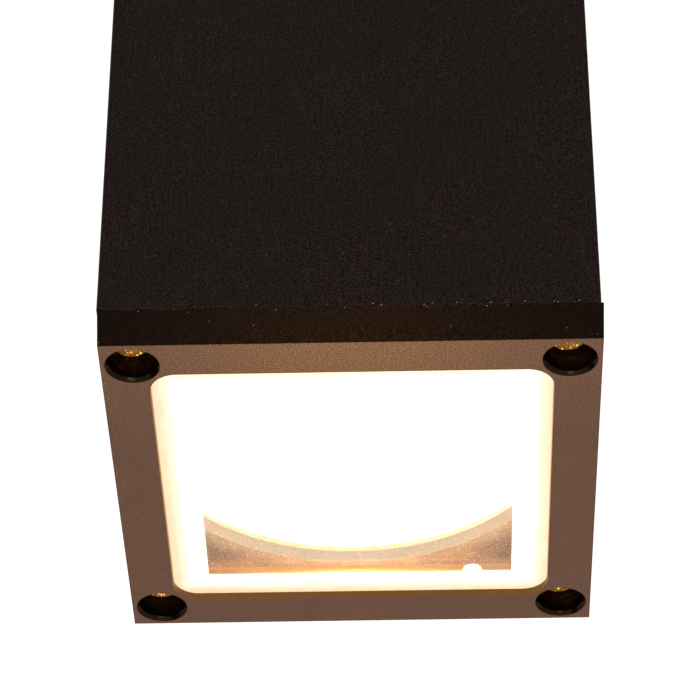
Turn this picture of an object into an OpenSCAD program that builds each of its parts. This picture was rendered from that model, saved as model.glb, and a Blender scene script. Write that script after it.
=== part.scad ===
// Bollard light: a square post on a steel base plate carries a hollow arm, and a
// square head hangs from the arm's far end and lights the ground through a glass pane.
// The origin is the centre of the post's foot on the ground, +Z up, and the head is at +X.

/* [Overall] */
// Height of the lid's top face above the ground
total_h = 900; // [700:10:1100]
// Distance from the post's axis to the head's axis
head_x = 190; // [180:5:240]
// Distance from the arm's underside down to the lens frame's lower face
head_l = 180; // [150:5:260]

/* [Square profile] */
// Outside width of the post and head tube
tube_w = 90.5; // [90:0.1:90.6]
// Wall thickness of the tube
tube_wall = 2.5; // [2:0.1:3]
// Radius of the tube's outer edges
tube_edge_r = 0.5; // [0.4:0.1:1.5]
// Radius of the screw ports in the tube's corners
port_r = 4.2; // [4:0.1:4.5]

/* [Lens frame] */
// Outside width of the lens frame's lower face
frame_w = 90; // [89.5:0.1:90.5]
// How much each side of the frame leans out towards the tube
frame_draft = 0.35; // [0.1:0.05:0.5]
// Thickness of the lens frame
frame_t = 8; // [7.8:0.1:8.5]
// Width of the frame's window
window_w = 73; // [71:0.5:74]
// Corner radius of the frame's window
window_r = 5; // [4:0.5:6]
// Distance of each screw's axis from the frame's outer edge
screw_inset = 5.8; // [5.7:0.05:6]
// Thickness of the frame's lip under the gasket
lip_t = 1.45; // [1.3:0.05:1.6]
// Thickness of the flat gasket under the glass
gasket_t = 0.5; // [0.4:0.1:1]
// Thickness of the glass
glass_t = 3; // [2.5:0.1:3]
// Clear width across the flat gasket
gasket_clear_w = 59; // [56:0.5:62]
// Clear depth across the flat gasket
gasket_clear_d = 61; // [56:0.5:62]

/* [Lamp] */
// Radius of the lamp's rim
lamp_r = 37.5; // [36:0.5:38]
// Height of the reflector plate above the lens frame's lower face
plate_h = 13; // [12:0.1:20]
// Radius of the round opening in the reflector plate
plate_opening_r = 39.9; // [39:0.1:40]
// Turn that frees the lamp from its holder, in degrees
lamp_turn = 20; // [15:1:25]

/* [Arm] */
// Outside height of the arm, with its lid
arm_h = 90; // [80:5:100]
// Wall thickness of the arm housing
arm_wall = 3; // [2.5:0.5:3.5]
// Thickness of the arm's floor
arm_floor = 4; // [3:0.5:5]
// Thickness of the lid
lid_t = 3; // [2.5:0.5:4]

/* [Foot] */
// Width of the square base plate
base_w = 180; // [170:5:220]
// Thickness of the base plate
base_t = 8; // [6:1:12]
// Spacing of the anchor holes
anchor_spacing = 140; // [135:5:145]
// Radius of each anchor hole
anchor_r = 4.5; // [4:0.5:5.5]
// Height of the spigot inside the post
spigot_h = 60; // [50:5:80]

/* [Hidden] */
$fn = 64;
eps = 0.01;
seal_t = 1;
foot_seal_t = 1.5;
frame_gasket_t = 0.25;
lid_seal_t = 1;

// Screw ports and the screws that go into them
port_at = frame_w/2 - screw_inset;
port_hole_r = 2.05;
m4_r = 2;
m4_clear_r = 2.3;
m6_r = 3;
m3_r = 1.5;
m3_tap_r = 1.55;
m3_head_r = 2.75;
m3_head_h = 2;
port_thread = 12;
bolt_head_clear_r = 3.9;

// Heights
arm_bottom = total_h - arm_h;
lens_z = arm_bottom - head_l;
frame_top = lens_z + frame_t;
head_bottom = frame_top + frame_gasket_t;
tube_top = arm_bottom - seal_t;
lid_bottom = total_h - lid_t;
rim_top = lid_bottom - lid_seal_t;
arm_floor_top = arm_bottom + arm_floor;
post_bottom = base_t + foot_seal_t;

// Inside sizes
tube_inner = tube_w - 2*tube_wall;
arm_l = head_x + tube_w;
arm_mid_x = head_x/2;
arm_inner_y = tube_w/2 - arm_wall;

// Counterbore of each frame screw, with a pan head at its bottom
cbore_r = 4.3;
cbore_mouth_r = 5.04;
cbore_depth = 7;
pan_r = 3.9;
frame_clear_r = 2.4;
pan_h = 2.6;
recess_w = 0.95;
recess_l = 4.4;
recess_d = 1.5;

// Sideways play that the frame takes up in its clearance holes
frame_slip = 0.3;
frame_x = head_x + frame_slip;

// Glass: a square pane whose corners are cut off beside the screws
pocket_w = 79.6;
pocket_cut = 71.1;
glass_w = 79;
glass_cut = 70.75;
bead_w = 79.5;
bead_cut = 71;
bead_inner = 74;
gasket_z = lens_z + lip_t;
glass_z = gasket_z + gasket_t;
glass_top = glass_z + glass_t;
pip_x = 21.9;
pip_r = 1.9;
pip_l = 2.3;
bead_t = 2;

// Lamp, holder, shroud and tray, as heights above the ground
gear_x = head_x - 1;
plate_z = lens_z + plate_h;
plate_w = 84.4;
plate_t = 1;
plate_notch = 7.5;
dish_r = 40.9;
dish_h = 1.9;
face_z = plate_z + dish_h + 0.6;
diffuser_t = 2;
diffuser_r = lamp_r - 2;
lamp_roof = 4;
lamp_back = face_z + 22;
hub_r = 19;
hub_h = 6;
pin_at = 26.5;
pin_r = 1.25;
pin_head_r = 2.4;
pin_stem = 2.7;
pin_head_h = 1.8;
holder_z = lamp_back + 0.4;
holder_h = 14;
holder_r = 37;
holder_plate = 2;
holder_cavity = 7;
holder_top = holder_z + holder_h;
holder_screw_at = 30;
slot_half = 1.7;
slot_end_r = 1.9;
entry_r = 3;
contact_h = 4.6;
board_r = 33;
board_t = 1.6;
led_count = 20;
led_ring_r = 25;
shroud_wall = 0.8;
shroud_z = plate_z + plate_t + dish_h;
tray_t = 1.5;
tray_w = 82;
tray_corner = 13;
tray_wire_r = 6;
standoff_r = 3;
standoff_y = 34.5;
nut_notch_r = 4.5;
cavity_r = 29.5;

// Arm inside
lid_screw_x = [-25, head_x/2, head_x + 25];
lid_screw_y = arm_inner_y - 4;
lid_boss_r = 4.4;
lid_screw_l = 14;
lid_edge_cut = 0.8;
grommet_hole_r = 8;
grommet_lip_r = 10.5;
grommet_bore_r = 4;
block_x = arm_mid_x;
block_l = 34;
block_w = 27;
block_h = 16;
pole_y = [-8.5, 0, 8.5];
pole_screw_x = 9;
pole_screw_r = 2.1;
pole_screw_sink = 4;
groove_w = 1.2;
groove_h = 5;
lead_r = 1.2;
lead_gap = 1.6;
lead_z = arm_floor_top + 6;
lead_end = 2;
bend_r = 10;
bend_steps = 6;
wire_sides = 10;
earth_x = block_x + block_l/2 + 22;
earth_y = -28;
earth_stud_r = 2;
ring_t = 1.6;
clamp_x = 38;
clamp_l = 30;
clamp_w = 9;
clamp_screw_y = clamp_l/2 - 4;
arch_r = 7;
arch_wall = 2.5;
clamp_foot_t = 3;

// Foot
spigot_w = 84.4;
spigot_wall = 5;
spigot_corner = 14;
flange_t = 6;
flange_bore_r = 16;
spigot_screw_at = 25;
lock_z = post_bottom + 28;
base_hole_r = 11;
base_grommet_lip_r = 14;
cable_r = 5.25;
base_edge_r = 8;
base_edge_cut = 1.4;

// ---- Shared shapes ----

// A square with round corners, as an outline
module rounded_rect(w, d, r) {
    square([w - 2*r, d], center = true);
    square([w, d - 2*r], center = true);
    for (x = [-1, 1], y = [-1, 1])
        translate([x*(w/2 - r), y*(d/2 - r)]) circle(r);
}

// A square whose corners are cut off where |x| + |y| reaches cut
module cut_square(w, cut) {
    h = w/2;
    c = cut - h;
    polygon([[h, -c], [h, c], [c, h], [-c, h], [-h, c], [-h, -c], [-c, -h], [c, -h]]);
}

// Places its children at the four corners of a square
module at_corners(d) {
    for (x = [-d, d], y = [-d, d]) translate([x, y, 0]) children();
}

// Square outline whose corners are notched to clear the screw ports
module notched_square(w, notch) {
    difference() {
        square(w, center = true);
        at_corners(w/2) square(2*notch, center = true);
    }
}

// Cross-section of the aluminium profile: four walls with a screw port in each corner
module profile() {
    difference() {
        union() {
            difference() {
                rounded_rect(tube_w, tube_w, tube_edge_r);
                square(tube_inner, center = true);
            }
            at_corners(port_at) circle(port_r);
        }
        at_corners(port_at) circle(port_hole_r);
    }
}

// Flat seal that covers the profile's end face
module profile_seal(thickness) {
    linear_extrude(thickness) difference() {
        union() {
            difference() {
                square(tube_w - 0.8, center = true);
                square(tube_inner - 0.6, center = true);
            }
            at_corners(port_at) circle(port_r);
        }
        at_corners(port_at) circle(m4_clear_r + 0.05);
    }
}

// Cross recess, cut down from z = 0
module cross_recess() {
    for (a = [0, 90]) rotate([0, 0, a])
        translate([0, 0, -recess_d/2]) cube([recess_l, recess_w, recess_d], center = true);
    translate([0, 0, -recess_d/2]) cylinder(h = recess_d, r = recess_w, center = true);
}

// Pan-head screw hanging down from z = 0, the plane under its head; the head is above
module pan_screw(length) {
    difference() {
        union() {
            cylinder(h = pan_h*0.55, r = pan_r);
            translate([0, 0, pan_h*0.55 - eps]) cylinder(h = pan_h*0.45 + eps, r1 = pan_r, r2 = pan_r*0.74);
        }
        translate([0, 0, pan_h + eps]) cross_recess();
    }
    translate([0, 0, -length]) cylinder(h = length + eps, r = m4_r);
}

// Socket-head screw hanging down from z = 0, the plane under its head
module socket_screw(radius, length) {
    difference() {
        cylinder(h = 2*radius, r = 1.75*radius);
        translate([0, 0, radius]) cylinder(h = radius + 1, r = 0.85*radius, $fn = 6);
    }
    translate([0, 0, -length]) cylinder(h = length + eps, r = radius);
}

// Countersunk screw whose flat top is at z = 0, with a hexagon socket
module csk_screw(radius, length) {
    difference() {
        union() {
            translate([0, 0, -radius]) cylinder(h = radius, r1 = radius, r2 = 2*radius);
            translate([0, 0, -length]) cylinder(h = length - radius + eps, r = radius);
        }
        translate([0, 0, -0.7*radius]) cylinder(h = radius, r = 0.62*radius, $fn = 6);
    }
}

// Hole for csk_screw, with the same flat top, and clearance all round
module csk_hole(radius, length) {
    translate([0, 0, -radius - 0.15]) cylinder(h = radius + 0.16, r1 = radius + 0.2, r2 = 2*radius + 0.36);
    translate([0, 0, -length]) cylinder(h = length, r = radius + 0.2);
}

// Rubber grommet in a floor that is arm_floor thick and starts at z = 0
module grommet() {
    difference() {
        union() {
            cylinder(h = arm_floor, r = grommet_hole_r - 0.05);
            translate([0, 0, arm_floor]) cylinder(h = 2, r = grommet_lip_r);
            translate([0, 0, -2]) cylinder(h = 2, r = grommet_lip_r);
        }
        cylinder(h = 3*arm_floor, r = grommet_bore_r, center = true);
    }
}

// ---- Foot ----

module base_plate() {
    color("#23211f") difference() {
        linear_extrude(base_t) difference() {
            rounded_rect(base_w, base_w, base_edge_r);
            at_corners(anchor_spacing/2) circle(anchor_r);
            circle(base_hole_r);
        }
        at_corners(spigot_screw_at) mirror([0, 0, 1]) csk_hole(m6_r, base_t + 1);
        for (a = [0:90:270]) rotate([0, 0, a]) translate([base_w/2, 0, base_t])
            rotate([0, 45, 0]) cube([base_edge_cut, base_w + 2, base_edge_cut], center = true);
    }
}

module base_grommet() {
    color("#1b1b1b") difference() {
        union() {
            translate([0, 0, 0.5]) cylinder(h = base_t - 0.5, r = base_hole_r - 0.05);
            translate([0, 0, base_t]) cylinder(h = 2.5, r = base_grommet_lip_r);
        }
        cylinder(h = 4*base_t, r = cable_r, center = true);
    }
}

// Flange inside the post's foot, with a bore for the supply cable
module foot_flange() {
    color("#9c9d9e") translate([0, 0, base_t]) linear_extrude(flange_t) difference() {
        notched_square(spigot_w, spigot_corner);
        circle(flange_bore_r);
        at_corners(spigot_screw_at) circle(m6_r + 0.05);
    }
}

// Four upright fingers on the flange, one inside each wall of the post
module foot_fingers() {
    reach = spigot_w/2;
    finger_w = 2*(reach - spigot_corner);
    color("#9c9d9e") for (a = [0:90:270]) rotate([0, 0, a]) difference() {
        translate([reach - spigot_wall, -finger_w/2, base_t + flange_t])
            cube([spigot_wall, finger_w, spigot_h - flange_t]);
        translate([reach - spigot_wall - 1, 0, lock_z]) rotate([0, 90, 0])
            cylinder(h = spigot_wall + 2, r = m6_r + 0.05);
    }
}

module spigot_screws() {
    color("#8d8f92") at_corners(spigot_screw_at)
        translate([0, 0, 0.1]) mirror([0, 0, 1]) csk_screw(m6_r, base_t + flange_t - 1);
}

module foot_seal() {
    color("#161616") translate([0, 0, base_t]) profile_seal(foot_seal_t);
}

// Button-head screws that lock the post to the spigot, one in each side
module post_lock_screws() {
    color("#7f8183") for (a = [0:90:270]) rotate([0, 0, a])
        translate([tube_w/2, 0, lock_z]) rotate([0, 90, 0]) difference() {
            union() {
                cylinder(h = 1.6, r = 1.75*m6_r);
                translate([0, 0, 1.6 - eps]) cylinder(h = 1.5, r1 = 1.75*m6_r, r2 = 1.15*m6_r);
                translate([0, 0, -tube_wall - spigot_wall])
                    cylinder(h = tube_wall + spigot_wall + eps, r = m6_r);
            }
            translate([0, 0, 1]) cylinder(h = 3, r = 2.3, $fn = 6);
        }
}

// ---- Post ----

module post_tube() {
    color("#1d1b1a") difference() {
        translate([0, 0, post_bottom]) linear_extrude(tube_top - post_bottom) profile();
        for (a = [0:90:270]) rotate([0, 0, a])
            translate([tube_inner/2 - 1, 0, lock_z]) rotate([0, 90, 0])
                cylinder(h = tube_wall + 2, r = m6_r + 0.2);
    }
}

module post_top_seal() {
    color("#161616") translate([0, 0, tube_top]) profile_seal(seal_t);
}

module joint_bolts() {
    at_corners(port_at) translate([0, 0, arm_floor_top]) socket_screw(m4_r, arm_floor + seal_t + port_thread);
}

module post_bolts() {
    color("#8d8f92") joint_bolts();
}

// ---- Arm ----

module arm_outline(inset = 0) {
    translate([arm_mid_x, 0])
        rounded_rect(arm_l - 2*inset, tube_w - 2*inset, max(tube_edge_r - inset, 0.3));
}

module at_lid_screws() {
    for (x = lid_screw_x, y = [-lid_screw_y, lid_screw_y]) translate([x, y, 0]) children();
}

module arm_housing() {
    color("#1d1b1a") difference() {
        union() {
            difference() {
                translate([0, 0, arm_bottom]) linear_extrude(rim_top - arm_bottom) arm_outline();
                translate([0, 0, arm_floor_top]) linear_extrude(arm_h) arm_outline(arm_wall);
            }
            at_lid_screws() translate([0, 0, arm_floor_top - 1])
                cylinder(h = rim_top - arm_floor_top + 1, r = lid_boss_r);
        }
        at_lid_screws() translate([0, 0, rim_top - lid_screw_l])
            cylinder(h = lid_screw_l + 1, r = port_hole_r);
        for (x = [0, head_x]) translate([x, 0, 0]) {
            at_corners(port_at) translate([0, 0, arm_bottom - 1]) cylinder(h = arm_floor + 2, r = m4_clear_r);
            at_corners(port_at) translate([0, 0, arm_floor_top]) cylinder(h = arm_h, r = bolt_head_clear_r);
            translate([0, 0, arm_bottom - 1]) cylinder(h = arm_floor + 2, r = grommet_hole_r);
        }
        for (y = [-standoff_y, standoff_y])
            translate([gear_x, y, arm_bottom - 1]) cylinder(h = arm_floor + 2, r = m4_clear_r);
        for (y = [-clamp_screw_y, clamp_screw_y])
            translate([clamp_x, y, arm_bottom + 1]) cylinder(h = arm_floor, r = m3_tap_r);
        translate([block_x, 0, arm_bottom + 1]) cylinder(h = arm_floor, r = m3_tap_r);
        translate([earth_x, earth_y, arm_bottom + 1]) cylinder(h = arm_floor, r = earth_stud_r + 0.05);
    }
}

module lid_seal() {
    color("#161616") translate([0, 0, rim_top]) linear_extrude(lid_seal_t) difference() {
        union() {
            difference() {
                arm_outline(0.5);
                arm_outline(arm_wall);
            }
            at_lid_screws() circle(lid_boss_r);
        }
        at_lid_screws() circle(port_hole_r + 0.2);
    }
}

module arm_lid() {
    color("#1d1b1a") difference() {
        translate([0, 0, lid_bottom]) linear_extrude(lid_t) arm_outline();
        at_lid_screws() translate([0, 0, total_h]) csk_hole(m4_r, lid_t + 1);
        for (y = [-1, 1]) translate([arm_mid_x, y*tube_w/2, total_h])
            rotate([45, 0, 0]) cube([arm_l + 2, lid_edge_cut, lid_edge_cut], center = true);
        for (x = [-1, 1]) translate([arm_mid_x + x*arm_l/2, 0, total_h])
            rotate([0, 45, 0]) cube([lid_edge_cut, tube_w + 2, lid_edge_cut], center = true);
    }
}

module lid_screws() {
    color("#8d8f92") at_lid_screws() translate([0, 0, total_h - 0.15]) csk_screw(m4_r, lid_screw_l);
}

module post_grommet() {
    color("#1b1b1b") translate([0, 0, arm_bottom]) grommet();
}

module head_grommet() {
    color("#1b1b1b") translate([head_x, 0, arm_bottom]) grommet();
}

// Saddle that holds the supply cable where it comes up from the post
module cable_clamp() {
    color("#e8e6e0") translate([clamp_x, 0, arm_floor_top]) difference() {
        union() {
            translate([-clamp_w/2, -clamp_l/2, 0]) cube([clamp_w, clamp_l, clamp_foot_t]);
            rotate([0, 90, 0]) cylinder(h = clamp_w, r = arch_r, center = true);
        }
        rotate([0, 90, 0]) cylinder(h = clamp_w + 2, r = arch_r - arch_wall, center = true);
        translate([0, 0, -arch_r]) cube([clamp_w + 2, clamp_l + 2, 2*arch_r], center = true);
        for (y = [-clamp_screw_y, clamp_screw_y]) translate([0, y, -1])
            cylinder(h = clamp_foot_t + 2, r = m3_r + 0.2);
    }
}

// M3 screw hanging down from z = 0, the plane under its head
module small_screw(length) {
    difference() {
        cylinder(h = m3_head_h, r = m3_head_r);
        translate([0, 0, m3_head_h + eps]) scale(0.6) cross_recess();
    }
    translate([0, 0, -length]) cylinder(h = length + eps, r = m3_r);
}

module clamp_screws() {
    color("#b59a55") for (y = [-clamp_screw_y, clamp_screw_y])
        translate([clamp_x, y, arm_floor_top + clamp_foot_t]) small_screw(clamp_foot_t + 2.5);
}

// Three-pole terminal block: a wire hole runs through each pole along X
module terminal_block() {
    color("#e8e6e0") translate([block_x, 0, arm_floor_top]) difference() {
        translate([-block_l/2, -block_w/2, 0]) cube([block_l, block_w, block_h]);
        for (y = pole_y) {
            translate([0, y, lead_z - arm_floor_top]) rotate([0, 90, 0])
                cylinder(h = block_l + 2, r = lead_r + 0.4, center = true);
            for (x = [-pole_screw_x, pole_screw_x]) translate([x, y, block_h - pole_screw_sink])
                cylinder(h = pole_screw_sink + 1, r = pole_screw_r + 0.1);
        }
        for (y = (pole_y[0] + pole_y[1])/2*[-1, 1])
            translate([-block_l/2 - 1, y - groove_w/2, block_h - groove_h])
                cube([block_l + 2, groove_w, groove_h + 1]);
    }
}

module terminal_screws() {
    color("#b59a55") translate([block_x, 0, arm_floor_top + block_h - pole_screw_sink])
        for (y = pole_y, x = [-pole_screw_x, pole_screw_x]) translate([x, y, 0]) difference() {
            cylinder(h = 2.2, r = pole_screw_r);
            translate([0, 0, 2]) cube([5, 0.7, 1.2], center = true);
        }
}

// Direction of a route at point i: along the bisector of its two stretches
function route_dir(route, i) =
    let (n = len(route) - 1,
         before = route[max(i, 1)] - route[max(i, 1) - 1],
         after = route[min(i, n - 1) + 1] - route[min(i, n - 1)],
         d = before/norm(before) + after/norm(after))
    d/norm(d);

// Ring of points round a route's point; side is a direction that the route never takes
function route_ring(route, i, radius, side) =
    let (t = route_dir(route, i), c = cross(side, t), u = c/norm(c), v = cross(t, u))
    [for (k = [0:wire_sides - 1])
        route[i] + radius*(cos(360*k/wire_sides)*u + sin(360*k/wire_sides)*v)];

// Wire swept along a list of points
module wire(route, radius, side) {
    n = wire_sides;
    last = n*(len(route) - 1);
    polyhedron(
        points = [for (i = [0:len(route) - 1]) each route_ring(route, i, radius, side)],
        faces = concat(
            [[for (k = [0:n - 1]) k]],
            [for (i = [0:len(route) - 2], k = [0:n - 1])
                [i*n + k, (i + 1)*n + k, (i + 1)*n + (k + 1)%n, i*n + (k + 1)%n]],
            [[for (k = [n - 1:-1:0]) last + k]]));
}

module earth_stud() {
    color("#b59a55") translate([earth_x, earth_y, 0]) {
        translate([0, 0, arm_bottom + 1.2]) cylinder(h = 17, r = earth_stud_r);
        translate([0, 0, arm_floor_top]) cylinder(h = 3.2, r = 4, $fn = 6);
        translate([0, 0, arm_floor_top + 3.2]) cylinder(h = lead_z - ring_t/2 - arm_floor_top - 3.2, r = 4.5);
        translate([0, 0, lead_z + ring_t/2]) cylinder(h = 0.8, r = 4.5);
        translate([0, 0, lead_z + ring_t/2 + 0.8]) cylinder(h = 3.2, r = 4, $fn = 6);
    }
}

// Earth wire from the block's last pole to a ring terminal on the stud
module earth_lead() {
    color("#5f8f2f") wire([[block_x + 4, pole_y[0], lead_z], [block_x + block_l/2 + 5, pole_y[0], lead_z],
        [earth_x - 3, pole_y[0] - 5, lead_z], [earth_x, pole_y[0] - 9, lead_z],
        [earth_x, earth_y + 5, lead_z]], lead_r, [0, 0, 1]);
    color("#b7b9bb") translate([earth_x, earth_y, lead_z - ring_t/2]) difference() {
        union() {
            cylinder(h = ring_t, r = 4.2);
            translate([-1.2, 0, 0]) cube([2.4, 5.5, ring_t]);
        }
        translate([0, 0, -1]) cylinder(h = ring_t + 2, r = earth_stud_r + 0.05);
    }
}

// Route of one lamp wire: from its pole, along the arm and down into the holder
function lead_route(pole, target) = concat(
    [[block_x + 4, pole, lead_z], [block_x + block_l/2 + 5, pole, lead_z],
     [block_x + block_l/2 + 23, target, lead_z]],
    [for (i = [0:bend_steps]) [gear_x - bend_r + bend_r*sin(90*i/bend_steps), target,
        lead_z - bend_r + bend_r*cos(90*i/bend_steps)]],
    [[gear_x, target, holder_top - lead_end]]);

module lamp_leads() {
    color("#6a3f24") wire(lead_route(pole_y[1], -lead_gap), lead_r, [0, 1, 0]);
    color("#2c5a9c") wire(lead_route(pole_y[2], lead_gap), lead_r, [0, 1, 0]);
}

// ---- Head ----

module head_top_seal() {
    color("#161616") translate([head_x, 0, tube_top]) profile_seal(seal_t);
}

module head_bolts() {
    color("#8d8f92") translate([head_x, 0, 0]) joint_bolts();
}

module head_tube() {
    color("#1d1b1a") translate([head_x, 0, head_bottom]) linear_extrude(tube_top - head_bottom) profile();
}

module frame_gasket() {
    color("#d9d6cf") translate([head_x, 0, frame_top]) profile_seal(frame_gasket_t);
}

// Lens frame: a square ring with a pocket for the glass and four counterbored screw holes
module lens_frame() {
    edge = 0.2;
    top_w = frame_w + 2*frame_draft;
    color("#23201e") translate([frame_x, 0, lens_z]) difference() {
        linear_extrude(frame_t) difference() {
            square(top_w, center = true);
            rounded_rect(window_w, window_w, window_r);
        }
        for (a = [0:90:270]) rotate([0, 0, a]) translate([top_w/2, -top_w, frame_t])
            rotate([0, atan(frame_draft/frame_t), 0]) translate([0, 0, -2*frame_t])
                cube([5, 2*top_w, 3*frame_t]);
        translate([0, 0, lip_t]) linear_extrude(frame_t) cut_square(pocket_w, pocket_cut);
        at_corners(port_at) {
            translate([0, 0, -1]) cylinder(h = frame_t + 2, r = frame_clear_r);
            translate([0, 0, -1]) cylinder(h = cbore_depth + 1, r = cbore_r);
            translate([0, 0, -eps]) cylinder(h = cbore_mouth_r - cbore_r, r1 = cbore_mouth_r, r2 = cbore_r);
        }
        for (a = [0:90:270]) rotate([0, 0, a]) translate([frame_w/2, 0, 0])
            rotate([0, 45, 0]) cube([edge, frame_w + 2, edge], center = true);
    }
}

module lens_glass() {
    color("#dfe8e6", 0.5) translate([frame_x, 0, glass_z]) linear_extrude(glass_t)
        cut_square(glass_w, glass_cut);
}

// Flat silicone gasket between the lip and the glass, with a moulding pip on its inner edge
module glass_gasket() {
    color("#f3ead6") translate([frame_x, 0, gasket_z]) linear_extrude(gasket_t) {
        difference() {
            cut_square(bead_w, bead_cut);
            square([gasket_clear_w, gasket_clear_d], center = true);
        }
        translate([pip_x, gasket_clear_d/2 - pip_l + pip_r]) circle(pip_r);
        translate([pip_x - pip_r, gasket_clear_d/2 - pip_l + pip_r]) square([2*pip_r, pip_l - pip_r + 1]);
    }
}

// Bead of silicone that holds the glass down in its pocket
module glass_seal() {
    color("#e9e6df") translate([frame_x, 0, glass_top]) linear_extrude(bead_t) difference() {
        cut_square(bead_w, bead_cut);
        cut_square(bead_inner, bead_cut - 3);
    }
}

module frame_screws() {
    color("#b88a3a") translate([head_x, 0, lens_z + cbore_depth]) at_corners(port_at)
        mirror([0, 0, 1]) pan_screw(frame_t + frame_gasket_t - cbore_depth + port_thread);
}

// Sheet that closes the tube round the lamp, dished up to a round opening for its light
module reflector_plate() {
    color("#a79c8c") {
        translate([0, 0, plate_z]) linear_extrude(plate_t) difference() {
            translate([head_x, 0]) notched_square(plate_w, plate_notch);
            translate([gear_x, 0]) circle(dish_r);
        }
        translate([gear_x, 0, plate_z]) rotate_extrude()
            polygon([[plate_opening_r, dish_h], [dish_r, 0], [dish_r + eps, 0], [dish_r + eps, plate_t],
                [dish_r, plate_t], [plate_opening_r + shroud_wall, dish_h + plate_t],
                [plate_opening_r, dish_h + plate_t]]);
    }
}

// Open cylinder round the lamp that keeps its light off the inside of the tube
module lamp_shroud() {
    color("#efece6") translate([gear_x, 0, shroud_z]) linear_extrude(holder_top - shroud_z) difference() {
        circle(plate_opening_r + shroud_wall);
        circle(plate_opening_r);
    }
}

// Tray that the holder and shroud are fixed under; its corners clear the screw ports
module gear_tray() {
    color("#b9bbbc") translate([gear_x, 0, holder_top]) linear_extrude(tray_t) difference() {
        notched_square(tray_w, tray_corner);
        circle(tray_wire_r);
        for (y = [-standoff_y, standoff_y]) translate([0, y]) circle(m4_clear_r);
        rotate(45) for (x = [-holder_screw_at, holder_screw_at]) translate([x, 0]) circle(m3_r + 0.25);
    }
}

// Rods that hang the tray from the arm's floor, with a turned-down thread at each end
module tray_standoffs() {
    rod_bottom = holder_top + tray_t;
    color("#9fa1a3") for (y = [-standoff_y, standoff_y]) translate([gear_x, y, 0]) {
        translate([0, 0, rod_bottom]) cylinder(h = arm_bottom - rod_bottom, r = standoff_r);
        translate([0, 0, arm_bottom - eps]) cylinder(h = arm_floor + 6, r = m4_r);
        translate([0, 0, rod_bottom - tray_t - 3.5]) cylinder(h = tray_t + 3.5 + eps, r = m4_r);
    }
}

module standoff_nuts() {
    color("#9fa1a3") for (y = [-standoff_y, standoff_y], z = [arm_floor_top, holder_top - 3.2])
        translate([gear_x, y, z]) difference() {
            cylinder(h = 3.2, r = 4, $fn = 6);
            translate([0, 0, -1]) cylinder(h = 6, r = m4_r + 0.05);
        }
}

// Part of a ring: inner and outer radius, height, start and sweep in degrees
module ring_sector(inner, outer, height, start, sweep) {
    rotate([0, 0, start]) rotate_extrude(angle = sweep) translate([inner, 0]) square([outer - inner, height]);
}

// Keyhole slots of the holder: a round entry hole and a curved slot for the pin's stem
module keyholes() {
    for (side = [0, 180]) {
        ring_sector(pin_at - slot_half, pin_at + slot_half, holder_plate + 2, side - lamp_turn, lamp_turn);
        rotate([0, 0, side]) translate([pin_at, 0, 0]) cylinder(h = holder_plate + 2, r = slot_end_r);
        rotate([0, 0, side - lamp_turn]) translate([pin_at, 0, 0])
            cylinder(h = holder_plate + 2, r = entry_r);
    }
}

module lamp_holder() {
    color("#efece6") translate([gear_x, 0, holder_z]) difference() {
        cylinder(h = holder_h, r = holder_r);
        translate([0, 0, -1]) cylinder(h = holder_plate + 2, r = hub_r + 1);
        translate([0, 0, holder_plate]) cylinder(h = holder_cavity, r = cavity_r);
        translate([0, 0, -1]) keyholes();
        for (y = [-standoff_y, standoff_y]) translate([0, y, -1]) cylinder(h = holder_h + 2, r = nut_notch_r);
        for (y = [-lead_gap, lead_gap]) translate([0, y, holder_h - 2.5]) cylinder(h = 3, r = lead_r + 0.2);
        for (x = [-holder_screw_at, holder_screw_at]) rotate([0, 0, 45])
            translate([x, 0, holder_h - 4]) cylinder(h = 5, r = m3_tap_r);
    }
}

// Spring contacts above the locked position of each pin
module holder_contacts() {
    color("#c79a4b") translate([gear_x, 0, holder_z + holder_plate + holder_cavity - contact_h])
        for (side = [0, 180]) rotate([0, 0, side]) translate([pin_at - 2, -4, 0]) cube([4, 8, contact_h]);
}

module holder_screws() {
    color("#9fa1a3") translate([gear_x, 0, holder_top + tray_t])
        for (x = [-holder_screw_at, holder_screw_at]) rotate([0, 0, 45]) translate([x, 0, 0])
            small_screw(tray_t + 3.5);
}

module lamp_housing() {
    color("#f2efe9") translate([gear_x, 0, 0]) difference() {
        union() {
            translate([0, 0, face_z]) cylinder(h = lamp_back - face_z, r = lamp_r);
            translate([0, 0, lamp_back - eps]) cylinder(h = hub_h, r = hub_r);
        }
        translate([0, 0, face_z - 1]) cylinder(h = diffuser_t + 1.5, r = diffuser_r + 0.05);
        translate([0, 0, face_z]) cylinder(h = lamp_back - face_z - lamp_roof, r = board_r);
        for (side = [-1, 1]) translate([side*pin_at, 0, lamp_back - lamp_roof + 1])
            cylinder(h = lamp_roof, r = pin_r);
    }
}

// Disc inside the lamp that carries a ring of light-emitting diodes, facing down
module lamp_board() {
    top = lamp_back - lamp_roof;
    color("#e9e9e4") translate([gear_x, 0, top - board_t]) {
        cylinder(h = board_t, r = board_r - 0.1);
        for (i = [0:led_count - 1]) rotate([0, 0, i*360/led_count])
            translate([led_ring_r, 0, -0.35]) cube([3.5, 2.8, 0.8], center = true);
    }
}

module lamp_diffuser() {
    color("#fff4dc") translate([gear_x, 0, face_z + 0.5]) cylinder(h = diffuser_t, r = diffuser_r);
}

module lamp_pins() {
    color("#c79a4b") translate([gear_x, 0, 0]) for (side = [-1, 1]) translate([side*pin_at, 0, 0]) {
        translate([0, 0, lamp_back - lamp_roof + 1]) cylinder(h = pin_stem + lamp_roof - 1 + eps, r = pin_r);
        translate([0, 0, lamp_back + pin_stem]) cylinder(h = pin_head_h, r = pin_head_r);
    }
}

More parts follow.
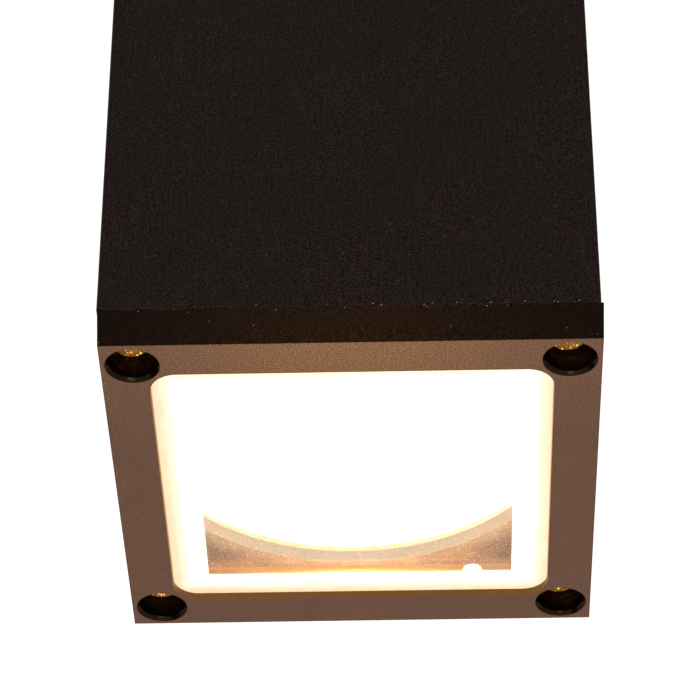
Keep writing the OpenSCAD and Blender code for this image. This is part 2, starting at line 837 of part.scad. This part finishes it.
base_plate();
base_grommet();
foot_flange();
foot_fingers();
spigot_screws();
foot_seal();
post_lock_screws();
post_tube();
post_top_seal();
post_bolts();
arm_housing();
arm_lid();
lid_seal();
lid_screws();
post_grommet();
head_grommet();
cable_clamp();
clamp_screws();
terminal_block();
terminal_screws();
earth_stud();
earth_lead();
lamp_leads();
head_top_seal();
head_bolts();
head_tube();
frame_gasket();
lens_frame();
glass_gasket();
lens_glass();
glass_seal();
frame_screws();
reflector_plate();
lamp_shroud();
gear_tray();
tray_standoffs();
standoff_nuts();
lamp_holder();
holder_contacts();
holder_screws();
lamp_housing();
lamp_board();
lamp_diffuser();
lamp_pins();
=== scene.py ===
"""Bollard light: materials, fine mesh work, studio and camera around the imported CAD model."""
import math

import bpy
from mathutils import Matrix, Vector


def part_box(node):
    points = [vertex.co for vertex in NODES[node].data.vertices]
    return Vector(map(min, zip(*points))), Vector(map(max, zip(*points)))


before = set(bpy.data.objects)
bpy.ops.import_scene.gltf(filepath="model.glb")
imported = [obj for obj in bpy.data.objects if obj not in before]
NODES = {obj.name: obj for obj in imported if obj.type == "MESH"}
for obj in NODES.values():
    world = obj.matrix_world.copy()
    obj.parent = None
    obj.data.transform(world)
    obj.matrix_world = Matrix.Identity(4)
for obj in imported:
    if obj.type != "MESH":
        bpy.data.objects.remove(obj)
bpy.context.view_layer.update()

MM = 0.001
LAMP_COLOUR = (1.0, 0.60, 0.32, 1.0)
FLOOR_LEVEL = -0.05 * MM

# Sizes of the CAD parts that the boxes of their nodes don't give
FRAME_LEAN = 0.35 * MM
FRAME_RIM = 8.5 * MM
SCREW_HEAD_RADIUS = 3.9 * MM
SHROUD_WALL = 0.8 * MM
DISHED_RIM = 1.0 * MM

# Radius round a screw hole's axis within which the hole's walls get painted shade: a dark, mostly metallic
# base
HOLE_REACH = 5.4 * MM
# Depth from a tube's outside beyond which its faces are bare
BARE_DEPTH = 2.2 * MM


def centre(name):
    """Middle of a CAD node's box."""
    low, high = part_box(name)
    return (low + high) / 2


def face_width():
    """Width of the lens frame's lower face; its sides lean out from there to the tube."""
    low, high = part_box("lens_frame")
    return high.x - low.x - 2 * FRAME_LEAN


# ---- Node helpers ----

class Tree:
    """A material's node tree, with short calls to add nodes and link them."""

    def __init__(self, name):
        self.material = bpy.data.materials.new(name)
        self.material.use_nodes = True
        self.tree = self.material.node_tree
        self.shader = self.tree.nodes["Principled BSDF"]
        self.coords = self.add("ShaderNodeTexCoord").outputs["Object"]

    def add(self, kind, **settings):
        made = self.tree.nodes.new(kind)
        for key, value in settings.items():
            setattr(made, key, value)
        return made

    def put(self, socket, value):
        """Links value to the socket if it is a socket itself, and sets it otherwise."""
        if isinstance(value, bpy.types.NodeSocket):
            self.tree.links.new(value, socket)
        else:
            socket.default_value = value

    def set(self, **inputs):
        """Sets or links inputs of the shader; an underscore stands for a space in a name."""
        for key, value in inputs.items():
            self.put(self.shader.inputs[key.replace("_", " ")], value)

    def math(self, operation, a, b=0.0, clamp=False):
        made = self.add("ShaderNodeMath", operation=operation, use_clamp=clamp)
        self.put(made.inputs[0], a)
        self.put(made.inputs[1], b)
        return made.outputs[0]

    def product(self, *values):
        result = values[0]
        for value in values[1:]:
            result = self.math("MULTIPLY", result, value)
        return result

    def split_colour(self, colour):
        """Red, green and blue of a colour, as three random numbers when it is a cell's."""
        made = self.add("ShaderNodeSeparateColor")
        self.put(made.inputs[0], colour)
        return made.outputs

    def stretch(self, scale):
        """The node's own coordinates, scaled along each axis."""
        made = self.add("ShaderNodeMapping")
        self.put(made.inputs["Vector"], self.coords)
        made.inputs["Scale"].default_value = scale
        return made.outputs[0]

    def noise(self, size, detail=2.0, coords=None):
        """Noise whose features are about size metres across."""
        made = self.add("ShaderNodeTexNoise")
        self.put(made.inputs["Vector"], coords or self.coords)
        made.inputs["Scale"].default_value = 1.0 / size
        made.inputs["Detail"].default_value = detail
        return made.outputs["Fac"]

    def cells(self, size):
        """Random cells about size metres across, with the distance from each cell's point."""
        made = self.add("ShaderNodeTexVoronoi")
        self.put(made.inputs["Vector"], self.coords)
        made.inputs["Scale"].default_value = 1.0 / size
        return made.outputs

    def ramp(self, factor, low, high, from_value=0.0, to_value=1.0):
        """Smooth step of factor, from from_value at low to to_value at high."""
        made = self.add("ShaderNodeMapRange", interpolation_type="SMOOTHSTEP")
        for socket, value in zip(made.inputs, (factor, low, high, from_value, to_value)):
            self.put(socket, value)
        return made.outputs[0]

    def mix(self, factor, a, b):
        """Colour a where factor is 0 and colour b where it is 1."""
        made = self.add("ShaderNodeMix", data_type="RGBA")
        self.put(made.inputs["Factor"], factor)
        self.put(made.inputs[6], a)
        self.put(made.inputs[7], b)
        return made.outputs[2]

    def bump(self, height, depth, strength):
        """A normal from a height between 0 and 1, where 1 is depth metres high."""
        made = self.add("ShaderNodeBump")
        made.inputs["Strength"].default_value = strength
        made.inputs["Distance"].default_value = depth
        self.put(made.inputs["Height"], height)
        return made.outputs[0]

    def axis(self, name):
        """One coordinate, in metres in the frame."""
        made = self.add("ShaderNodeSeparateXYZ")
        self.put(made.inputs[0], self.coords)
        return made.outputs[name]

    def edges(self, radius):
        """1 on sharp edges and 0 on flat ground, from a rounded normal against the true one."""
        rounded = self.add("ShaderNodeBevel", samples=4)
        rounded.inputs["Radius"].default_value = radius
        flat = self.add("ShaderNodeNewGeometry").outputs["Normal"]
        dot = self.add("ShaderNodeVectorMath", operation="DOT_PRODUCT")
        self.put(dot.inputs[0], rounded.outputs[0])
        self.put(dot.inputs[1], flat)
        return self.math("SUBTRACT", 1.0, dot.outputs["Value"], clamp=True)


def grey(value, warmth=0.0):
    """A linear grey; warmth above 0 takes some blue and green away."""
    return (value, value * (1 - 0.5 * warmth), value * (1 - warmth), 1.0)


# ---- Materials ----

def dots(m, size, radius, share):
    """Round dots of a radius in a random share of cells that are size metres across."""
    cell = m.cells(size)
    draw = m.split_colour(cell["Color"])[0]
    spot = m.ramp(cell["Distance"], radius / size, 0.5 * radius / size)
    return m.product(spot, m.math("LESS_THAN", draw, share))


def chips_near(m, height, reach):
    """1 in small scattered dots within reach of a height, where an edge has lost its coat."""
    away = m.math("ABSOLUTE", m.math("SUBTRACT", m.axis("Z"), height))
    near = m.math("LESS_THAN", away, reach)
    where = m.ramp(m.noise(11 * MM, 1.0), 0.42, 0.55)
    return m.product(near, dots(m, 0.75 * MM, 0.17 * MM, 0.45), where)


def length_xy(m, x, y):
    """Length of the vector (x, y)."""
    return m.math("SQRT", m.math("ADD", m.product(x, x), m.product(y, y)))


def square_reach(m, middle):
    """Larger of the distances from a vertical axis along X and along Y."""
    away_x = m.math("ABSOLUTE", m.math("SUBTRACT", m.axis("X"), middle.x))
    away_y = m.math("ABSOLUTE", m.math("SUBTRACT", m.axis("Y"), middle.y))
    return m.math("MAXIMUM", away_x, away_y)


def powder_coat(name="powder_coat", bare_inside=None):
    """Matt warm-black coat with fine pits, faint draw lines, light specks and edge chips.

    bare_inside names a square tube whose inner faces are bare metal.
    """
    m = Tree(name)
    grain = m.noise(0.40 * MM, detail=2.0)
    pits = m.ramp(m.cells(0.55 * MM)["Distance"], 0.34, 0.14)
    lines = m.noise(0.36 * MM, detail=1.0, coords=m.stretch((1.0, 1.0, 0.05)))
    patch = m.noise(14 * MM, detail=3.0)
    base = m.mix(m.ramp(grain, 0.40, 0.62), (0.0008, 0.0006, 0.0005, 1), (0.0330, 0.0225, 0.0195, 1))
    base = m.mix(m.product(m.ramp(patch, 0.35, 0.65), 0.35), base, (0.0080, 0.0062, 0.0060, 1))
    base = m.mix(m.product(m.ramp(lines, 0.52, 0.70), 0.30), base, (0.034, 0.0225, 0.0195, 1))
    base = m.mix(m.product(pits, 0.85), base, (0.0008, 0.0006, 0.0006, 1))
    base = m.mix(m.product(dots(m, 1.7 * MM, 0.22 * MM, 0.22), 0.55), base, (0.13, 0.115, 0.105, 1))
    base = m.mix(m.product(dots(m, 0.9 * MM, 0.15 * MM, 0.18), 0.55), base, (0.085, 0.072, 0.064, 1))
    edge = m.ramp(m.edges(0.4 * MM), 0.10, 0.30)
    broken = m.ramp(m.noise(0.9 * MM, 3.0), 0.60, 0.67)
    rubbed = m.product(edge, broken, m.ramp(m.noise(9 * MM, 1.0), 0.48, 0.62))
    chips = m.math("MAXIMUM", rubbed, chips_near(m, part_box("head_tube")[0].z, 0.6 * MM))
    base = m.mix(chips, base, (0.55, 0.49, 0.40, 1))
    metallic = m.product(chips, 0.6)
    if bare_inside:
        low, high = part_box(bare_inside)
        reach = square_reach(m, centre(bare_inside))
        inside = m.math("LESS_THAN", reach, (high.x - low.x) / 2 - BARE_DEPTH)
        base = m.mix(inside, base, (0.62, 0.40, 0.110, 1))
        metallic = m.math("MAXIMUM", metallic, m.product(inside, 0.5))
    height = m.math("ADD", grain, m.product(lines, 0.3))
    height = m.math("SUBTRACT", height, m.product(pits, 0.6))
    m.set(Base_Color=base,
          Roughness=m.math("ADD", m.ramp(grain, 0.3, 0.75, 0.42, 0.60), m.product(pits, 0.30)),
          Specular_IOR_Level=0.28,
          Specular_Tint=(1.0, 0.66, 0.58, 1),
          Metallic=metallic,
          Normal=m.bump(height, 0.09 * MM, 0.75))
    return m.material


def in_screw_holes(m):
    """1 inside the four counterbores of the lens frame and 0 on its faces."""
    low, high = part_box("frame_screws")
    middle = centre("frame_screws")
    reach = (high.x - low.x) / 2 - SCREW_HEAD_RADIUS
    away_x = m.math("ABSOLUTE", m.math("SUBTRACT", m.axis("X"), middle.x))
    away_y = m.math("ABSOLUTE", m.math("SUBTRACT", m.axis("Y"), middle.y))
    away = length_xy(m, m.math("SUBTRACT", away_x, reach), m.math("SUBTRACT", away_y, reach))
    inside = m.ramp(away, HOLE_REACH + 0.05 * MM, HOLE_REACH - 0.05 * MM)
    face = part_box("lens_frame")[0].z
    above = m.ramp(m.axis("Z"), face + 0.02 * MM, face + 0.08 * MM)
    return m.product(inside, above)


def facing_down(m):
    """1 on faces that look at the ground and 0 on upright ones."""
    split = m.add("ShaderNodeSeparateXYZ")
    m.put(split.inputs[0], m.add("ShaderNodeNewGeometry").outputs["Normal"])
    return m.ramp(split.outputs["Z"], -0.4, -0.9)


def rim_light(m, fine):
    """Warm lamp light on the frame's front, on its dusty lower face and on its window's walls."""
    middle = centre("lens_frame")
    half = face_width() / 2
    front = m.ramp(m.axis("Y"), middle.y - 0.3 * half, middle.y - half)
    across = m.math("ABSOLUTE", m.math("SUBTRACT", m.axis("X"), middle.x))
    central = m.ramp(across, half, 0.1 * half, 0.25, 1.0)
    below = facing_down(m)
    strength = m.ramp(below, 0.0, 1.0, 0.012, 0.12)
    grainy = m.ramp(fine, 0.35, 0.65, 0.40, 1.60)
    face = m.product(front, central, strength, grainy)
    by_window = m.math("LESS_THAN", square_reach(m, middle), half - FRAME_RIM + 0.5 * MM)
    wall = m.product(by_window, m.ramp(below, 0.0, 1.0, 0.15, 0.0))
    return m.math("ADD", face, wall)


def frame_paint():
    """Satin paint of the lens frame: black on its sides and dusty on its lower face, where a metallic brown
    tone is painted warm light; the screw holes get painted shade.
    """
    m = Tree("frame_paint")
    cloud = m.noise(9 * MM, detail=4.0)
    fine = m.noise(0.34 * MM, detail=3.0)
    dusty = m.ramp(m.noise(6 * MM, 1.0), 0.45, 0.60)
    dust = m.product(dots(m, 1.3 * MM, 0.17 * MM, 0.30), dusty)
    base = m.mix(cloud, (0.0018, 0.0010, 0.0007, 1), (0.0038, 0.0021, 0.0013, 1))
    base = m.mix(m.product(m.ramp(fine, 0.5, 0.72), 0.6), base, (0.024, 0.013, 0.008, 1))
    base = m.mix(m.product(dust, 0.7), base, (0.30, 0.22, 0.15, 1))
    rubbed = m.product(m.ramp(m.edges(0.3 * MM), 0.08, 0.35), m.ramp(m.noise(1.4 * MM, 3.0), 0.52, 0.64))
    base = m.mix(m.product(rubbed, 0.5), base, (0.26, 0.20, 0.15, 1))
    base = m.mix(chips_near(m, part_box("lens_frame")[1].z, 0.4 * MM), base, (0.50, 0.44, 0.36, 1))
    # Painted warm light on the lower face: a metallic brown tone instead of the black paint, with real dust
    # dots on it
    painted_warm_light_and_dust = m.mix(m.ramp(fine, 0.35, 0.70), (0.100, 0.063, 0.047, 1), (0.150, 0.096, 0.072, 1))
    painted_warm_light_and_dust = m.mix(m.product(dust, 0.7), painted_warm_light_and_dust, (0.36, 0.24, 0.15, 1))
    below = facing_down(m)
    holes = in_screw_holes(m)
    satin = m.ramp(cloud, 0.3, 0.7, 0.31, 0.42)
    base = m.mix(below, base, painted_warm_light_and_dust)
    # Painted shade in the screw holes: a dark, mostly metallic base, and no painted glow there
    m.set(Base_Color=m.mix(holes, base, (0.014, 0.009, 0.005, 1)),
          Metallic=m.math("MAXIMUM", m.product(holes, 0.85), m.product(below, 0.95)),
          Roughness=m.math("SUBTRACT", satin, m.product(holes, 0.22)),
          Specular_IOR_Level=0.20,
          Specular_Tint=(1.0, 0.62, 0.50, 1),
          Emission_Color=(1.0, 0.44, 0.12, 1),
          Emission_Strength=m.product(rim_light(m, fine), m.math("SUBTRACT", 1.0, holes)),
          Normal=m.bump(fine, 0.02 * MM, 0.8))
    return m.material


def black_rubber():
    """Dull black rubber of the seals and grommets."""
    m = Tree("black_rubber")
    grain = m.noise(0.4 * MM, 3.0)
    m.set(Base_Color=m.mix(grain, grey(0.010), grey(0.022, 0.1)),
          Roughness=m.ramp(grain, 0.3, 0.7, 0.62, 0.78),
          Normal=m.bump(grain, 0.03 * MM, 0.6))
    return m.material


def pale_silicone():
    """Milky silicone whose passed-on lamp light is painted as emission: brightest beside the clear glass,
    brighter towards +X and amber at the window's edge.
    """
    m = Tree("pale_silicone")
    middle = centre("glass_gasket")
    reach = square_reach(m, middle)
    window = face_width() / 2 - FRAME_RIM
    # Painted lamp light: emission brightest beside the glass, amber at the window's edge and brighter towards
    # +X
    glow = m.ramp(reach, window - 5.4 * MM, window - 0.8 * MM, 1.0, 0.0)
    rim = m.ramp(reach, window - 0.25 * MM, window, 0.0, 1.0)
    cloud = m.noise(3 * MM, 3.0)
    fine = m.noise(0.5 * MM, 2.0)
    strength = m.math("ADD", m.product(glow, 0.9), 0.78)
    strength = m.math("SUBTRACT", strength, m.product(rim, 0.16))
    painted_light_slope = m.ramp(m.axis("X"), middle.x - window, middle.x + window, 0.94, 1.12)
    strength = m.product(strength, painted_light_slope, m.ramp(cloud, 0.3, 0.7, 0.95, 1.05))
    tone = m.mix(glow, (1.0, 0.79, 0.56, 1), (1.0, 0.78, 0.67, 1))
    m.set(Base_Color=m.mix(cloud, (0.32, 0.26, 0.17, 1), (0.38, 0.31, 0.21, 1)),
          Roughness=m.ramp(fine, 0.3, 0.7, 0.38, 0.52),
          Emission_Color=m.mix(rim, tone, (1.0, 0.50, 0.10, 1)),
          Emission_Strength=strength,
          Normal=m.bump(fine, 0.02 * MM, 0.4))
    m.shader.inputs["Subsurface Weight"].default_value = 0.3
    m.shader.inputs["Subsurface Radius"].default_value = (2 * MM, 1.6 * MM, 1.2 * MM)
    m.shader.inputs["Subsurface Scale"].default_value = 1.0
    return m.material


def clear_glass():
    """Clear pane with faint smears."""
    m = Tree("clear_glass")
    smear = m.noise(14 * MM, 4.0)
    m.set(Base_Color=m.mix(smear, (0.97, 0.985, 0.975, 1), (0.99, 1.0, 0.995, 1)),
          Roughness=m.ramp(smear, 0.45, 0.8, 0.0, 0.035),
          Transmission_Weight=1.0)
    m.shader.inputs["IOR"].default_value = 1.5
    return m.material


def sheet_aluminium():
    """Mill-finish sheet with painted lamp light: an amber tone, bright sparkles on its flakes and a glow
    round its opening; darker on its dished edge.
    """
    m = Tree("sheet_aluminium")
    grain = m.noise(0.35 * MM, 3.0)
    flake = m.cells(0.45 * MM)
    pick, shine, matt = m.split_colour(flake["Color"])
    cloud = m.noise(5 * MM, 3.0)
    # Painted sparkles: bright flakes in the base colour and in the emission
    painted_sparkle = m.product(m.ramp(pick, 0.72, 0.92), m.ramp(flake["Distance"], 0.50, 0.15))
    # Painted warm lamp light: an amber base colour on the metal
    base = m.mix(m.ramp(cloud, 0.3, 0.7), (0.32, 0.200, 0.060, 1), (0.55, 0.350, 0.110, 1))
    base = m.mix(m.product(m.ramp(grain, 0.42, 0.62), 0.45), base, (0.95, 0.62, 0.26, 1))
    base = m.mix(m.product(painted_sparkle, 0.9), base, (1.0, 0.78, 0.44, 1))
    low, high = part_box("lamp_shroud")
    middle = centre("lamp_shroud")
    opening = (high.x - low.x) / 2 - SHROUD_WALL
    away_x = m.math("SUBTRACT", m.axis("X"), middle.x)
    away_y = m.math("SUBTRACT", m.axis("Y"), middle.y)
    away = length_xy(m, away_x, away_y)
    dished = m.ramp(away, opening + DISHED_RIM + 0.15 * MM, opening + DISHED_RIM - 0.10 * MM)
    base = m.mix(m.product(dished, 0.95), base, (0.110, 0.096, 0.090, 1))
    # Painted lamp light round the opening, as emission
    beside = m.ramp(away, opening + 6.5 * MM, opening)
    glow = m.math("ADD", m.product(beside, 0.30), m.product(painted_sparkle, 0.26))
    m.set(Base_Color=base,
          Metallic=m.ramp(shine, 0.0, 1.0, 0.75, 0.95),
          Roughness=m.ramp(matt, 0.0, 1.0, 0.34, 0.60),
          Emission_Color=(1.0, 0.72, 0.42, 1),
          Emission_Strength=glow,
          Normal=m.bump(m.math("ADD", grain, shine), 0.06 * MM, 0.7))
    return m.material


def gold_zinc():
    """Yellow passivated screw head; the small bright glints on its facets are painted as emission, over a
    faint painted glow of the whole head.
    """
    m = Tree("gold_zinc")
    facet = m.cells(0.55 * MM)
    pick, matt, tilt = m.split_colour(facet["Color"])
    grain = m.noise(0.3 * MM, 3.0)
    # Painted glints: chosen facets glow, and the whole head glows faintly
    painted_glint = m.product(m.ramp(pick, 0.62, 0.88), m.ramp(facet["Distance"], 0.50, 0.12))
    m.set(Base_Color=m.mix(m.ramp(grain, 0.3, 0.7), (0.60, 0.26, 0.04, 1), (1.0, 0.60, 0.16, 1)),
          Metallic=1.0,
          Roughness=m.ramp(matt, 0.0, 1.0, 0.16, 0.34),
          Emission_Color=(1.0, 0.50, 0.12, 1),
          Emission_Strength=m.math("ADD", m.product(painted_glint, 2.4), 0.10),
          Normal=m.bump(m.math("ADD", tilt, grain), 0.10 * MM, 0.8))
    return m.material


def metal(name, dark, light, rough=(0.25, 0.42), size=0.6 * MM):
    """Bare metal with a cloudy tone and a grain that is about size metres across."""
    m = Tree(name)
    grain = m.noise(size, 3.0)
    cloud = m.noise(8 * size, 3.0)
    m.set(Base_Color=m.mix(cloud, dark, light),
          Metallic=1.0,
          Roughness=m.ramp(grain, 0.3, 0.7, *rough),
          Normal=m.bump(grain, 0.015 * MM, 0.5))
    return m.material


def plastic(name, dark, light, rough=(0.38, 0.5)):
    """Moulded plastic with a faint eggshell grain."""
    m = Tree(name)
    grain = m.noise(0.3 * MM, 2.0)
    cloud = m.noise(6 * MM, 2.0)
    m.set(Base_Color=m.mix(cloud, dark, light),
          Roughness=m.ramp(grain, 0.3, 0.7, *rough),
          Normal=m.bump(grain, 0.012 * MM, 0.5))
    return m.material


def lit(name, strength, pale):
    """Opal plastic that is lit from behind, with an almost even glow."""
    m = Tree(name)
    cloud = m.noise(9 * MM, 2.0)
    grain = m.noise(0.4 * MM, 2.0)
    m.set(Base_Color=m.mix(cloud, (0.95, 0.9, 0.8, 1), (0.98, 0.94, 0.86, 1)),
          Roughness=m.ramp(grain, 0.3, 0.7, 0.35, 0.5),
          Emission_Color=m.mix(cloud, LAMP_COLOUR, pale),
          Emission_Strength=m.ramp(cloud, 0.3, 0.7, strength * 0.95, strength * 1.05),
          Normal=m.bump(grain, 0.01 * MM, 0.4))
    return m.material


def lit_enamel():
    """White enamel of the shroud with its lamp light painted as emission; along its lower edge painted shade:
    a dark base with a weak gold-coloured glow.
    """
    m = Tree("lit_enamel")
    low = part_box("lamp_shroud")[0]
    grain = m.noise(0.35 * MM, 3.0)
    # Painted shade along the lower edge: a dark base and a weaker gold-coloured painted glow
    above = m.ramp(m.axis("Z"), low.z - 0.2 * MM, low.z + 0.8 * MM)
    painted_edge_glow = m.ramp(grain, 0.35, 0.65, 0.20, 0.50)
    m.set(Base_Color=m.mix(above, (0.075, 0.055, 0.036, 1), (0.95, 0.90, 0.80, 1)),
          Roughness=m.ramp(grain, 0.3, 0.7, 0.35, 0.5),
          Emission_Color=m.mix(above, (1.0, 0.70, 0.40, 1), (1.0, 0.84, 0.58, 1)),
          Emission_Strength=m.ramp(above, 0.0, 1.0, painted_edge_glow, 5.0),
          Normal=m.bump(grain, 0.02 * MM, 0.4))
    return m.material


# ---- Camera ----

def add_camera():
    """Looks up at the head from below and in front, with a long lens.

    Distances are in widths of the lens frame's lower face.
    """
    yaw = math.radians(-1.47)
    rise = math.radians(37.6)
    distance = 7.20
    aim_up = 0.2913
    aim_right = -0.0131
    look = Vector((math.sin(yaw) * math.cos(rise), math.cos(yaw) * math.cos(rise), math.sin(rise)))
    right = look.cross(Vector((0, 0, 1))).normalized()
    up = right.cross(look)
    under = centre("lens_frame")
    under.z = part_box("lens_frame")[0].z
    aim = under + face_width() * (aim_up * up + aim_right * right)
    data = bpy.data.cameras.new("camera")
    data.lens = 177.5
    data.sensor_width = 36
    data.clip_start = 0.01
    camera = bpy.data.objects.new("camera", data)
    camera.location = aim - distance * face_width() * look
    camera.rotation_euler = look.to_track_quat("-Z", "Y").to_euler()
    bpy.context.scene.collection.objects.link(camera)
    bpy.context.scene.camera = camera


# ---- Studio ----

def add_area(name, place, aim, size, power, colour=(1, 1, 1)):
    """Rectangular soft light of a power in watts, from place towards aim."""
    data = bpy.data.lights.new(name, "AREA")
    data.shape = "RECTANGLE"
    data.size, data.size_y = size
    data.energy = power
    data.color = colour
    light = bpy.data.objects.new(name, data)
    light.location = place
    light.rotation_euler = (Vector(aim) - Vector(place)).to_track_quat("-Z", "Y").to_euler()
    light.visible_camera = False
    bpy.context.scene.collection.objects.link(light)


def add_floor():
    """Plain pale floor under the base plate."""
    mesh = bpy.data.meshes.new("floor")
    half = 6.0
    corners = [(x * half, y * half, FLOOR_LEVEL) for x, y in ((-1, -1), (1, -1), (1, 1), (-1, 1))]
    mesh.from_pydata(corners, [], [(0, 1, 2, 3)])
    floor = bpy.data.objects.new("floor", mesh)
    bpy.context.scene.collection.objects.link(floor)
    m = Tree("pale_floor")
    m.set(Base_Color=m.mix(m.noise(0.4, 2.0), (0.76, 0.75, 0.735, 1), (0.80, 0.79, 0.775, 1)),
          Roughness=0.7,
          Emission_Color=(1.0, 0.985, 0.96, 1),
          Emission_Strength=0.42)
    mesh.materials.append(m.material)


def add_world():
    """White to the camera, and a soft dim light for everything else."""
    world = bpy.data.worlds.new("studio")
    bpy.context.scene.world = world
    world.use_nodes = True
    tree = world.node_tree
    soft = tree.nodes["Background"]
    soft.inputs["Color"].default_value = (1, 1, 1, 1)
    soft.inputs["Strength"].default_value = 0.22
    white = tree.nodes.new("ShaderNodeBackground")
    white.inputs["Color"].default_value = (1, 1, 1, 1)
    white.inputs["Strength"].default_value = 1.1
    pick = tree.nodes.new("ShaderNodeMixShader")
    path = tree.nodes.new("ShaderNodeLightPath")
    tree.links.new(path.outputs["Is Camera Ray"], pick.inputs[0])
    tree.links.new(soft.outputs[0], pick.inputs[1])
    tree.links.new(white.outputs[0], pick.inputs[2])
    tree.links.new(pick.outputs[0], tree.nodes["World Output"].inputs["Surface"])


def add_lights():
    """The lamp's own beam, a wash on the floor that the lower face mirrors, and three soft studio lights."""
    head = centre("lens_frame")
    beam = (head.x, head.y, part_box("lens_frame")[0].z - 1 * MM)
    below = (head.x, head.y, 0)
    middle = (0.08, 0, 0.5)
    window = 58 * MM
    add_area("lamp_beam", beam, below, (window, window), 4, LAMP_COLOUR[:3])
    add_area("floor_wash", (head.x, 1.3, 1.5), (head.x, 0.8, 0), (1.4, 0.9), 12, (1.0, 0.92, 0.84))
    add_area("under_fill", (head.x, -0.55, 0.12), head, (0.25, 0.25), 0.8, (1.0, 0.93, 0.84))
    add_area("side_key", (-2.6, -0.5, 1.7), middle, (0.9, 1.4), 14)
    add_area("back_rim", (1.9, 1.6, 1.9), middle, (0.9, 1.4), 14)


# ---- Finishing of CAD nodes ----

def assign(material, *names):
    """Gives CAD nodes a material in each of their slots."""
    for name in names:
        for slot in NODES[name].material_slots:
            slot.material = material


def soften(width, *names):
    """Rounds a CAD node's sharp edges a little, as a coating or a tool leaves them."""
    for name in names:
        obj = NODES[name]
        weld = obj.modifiers.new("weld", "WELD")
        weld.merge_threshold = 0.004 * MM
        flat = obj.modifiers.new("flat", "DECIMATE")
        flat.decimate_type = "DISSOLVE"
        flat.angle_limit = math.radians(0.5)
        bevel = obj.modifiers.new("soft_edges", "BEVEL")
        bevel.width = width
        bevel.segments = 2
        bevel.limit_method = "ANGLE"
        bevel.angle_limit = math.radians(35)
        bevel.harden_normals = True


def dress_nodes():
    """Gives every CAD node its material, and softens the edges that show."""
    assign(powder_coat(), "base_plate", "post_tube", "arm_housing", "arm_lid")
    assign(powder_coat("powder_coat_head", bare_inside="head_tube"), "head_tube")
    assign(frame_paint(), "lens_frame")
    assign(black_rubber(), "base_grommet", "foot_seal", "post_top_seal", "lid_seal",
           "post_grommet", "head_grommet", "head_top_seal")
    assign(pale_silicone(), "glass_gasket")
    assign(plastic("dull_silicone", grey(0.16, 0.1), grey(0.24, 0.1), (0.6, 0.75)),
           "glass_seal", "frame_gasket")
    assign(clear_glass(), "lens_glass")
    assign(sheet_aluminium(), "reflector_plate")
    assign(metal("zinc_sheet", grey(0.45), grey(0.58)), "gear_tray")
    assign(metal("cast_aluminium", grey(0.45), grey(0.6), (0.45, 0.6), 1.2 * MM),
           "foot_flange", "foot_fingers")
    assign(metal("stainless", grey(0.42), grey(0.60, 0.04)),
           "spigot_screws", "post_lock_screws", "post_bolts", "lid_screws", "head_bolts", "holder_screws",
           "standoff_nuts", "tray_standoffs")
    assign(metal("yellow_steel", (0.62, 0.40, 0.10, 1), (0.85, 0.62, 0.22, 1), (0.22, 0.38), 0.5 * MM),
           "clamp_screws", "terminal_screws", "earth_stud")
    assign(gold_zinc(), "frame_screws")
    assign(metal("contact_brass", (0.68, 0.48, 0.20, 1), (0.82, 0.62, 0.30, 1)),
           "holder_contacts", "lamp_pins")
    assign(plastic("white_plastic", grey(0.78, 0.05), grey(0.84, 0.08)),
           "cable_clamp", "terminal_block", "lamp_holder")
    assign(lit("lit_housing", 3.0, (1.0, 0.86, 0.62, 1)), "lamp_housing")
    assign(plastic("green_wire", (0.10, 0.30, 0.03, 1), (0.16, 0.38, 0.05, 1)), "earth_lead")
    assign(plastic("brown_wire", (0.13, 0.055, 0.02, 1), (0.18, 0.075, 0.03, 1)), "lamp_leads")
    assign(lit("lit_board", 4.0, (1.0, 0.86, 0.62, 1)), "lamp_board")
    assign(lit("lit_diffuser", 14.0, (1.0, 0.88, 0.66, 1)), "lamp_diffuser")
    assign(lit_enamel(), "lamp_shroud")
    soften(0.35 * MM, "base_plate", "head_tube", "post_tube", "arm_housing", "arm_lid")
    soften(0.15 * MM, "lens_frame")
    soften(0.12 * MM, "frame_screws", "post_lock_screws", "lid_screws", "spigot_screws")
    soften(0.25 * MM, "glass_gasket", "terminal_block", "cable_clamp", "lamp_holder", "lamp_housing")


add_camera()
add_floor()
add_world()
add_lights()
dress_nodes()
bpy.context.scene.view_settings.view_transform = "Standard"
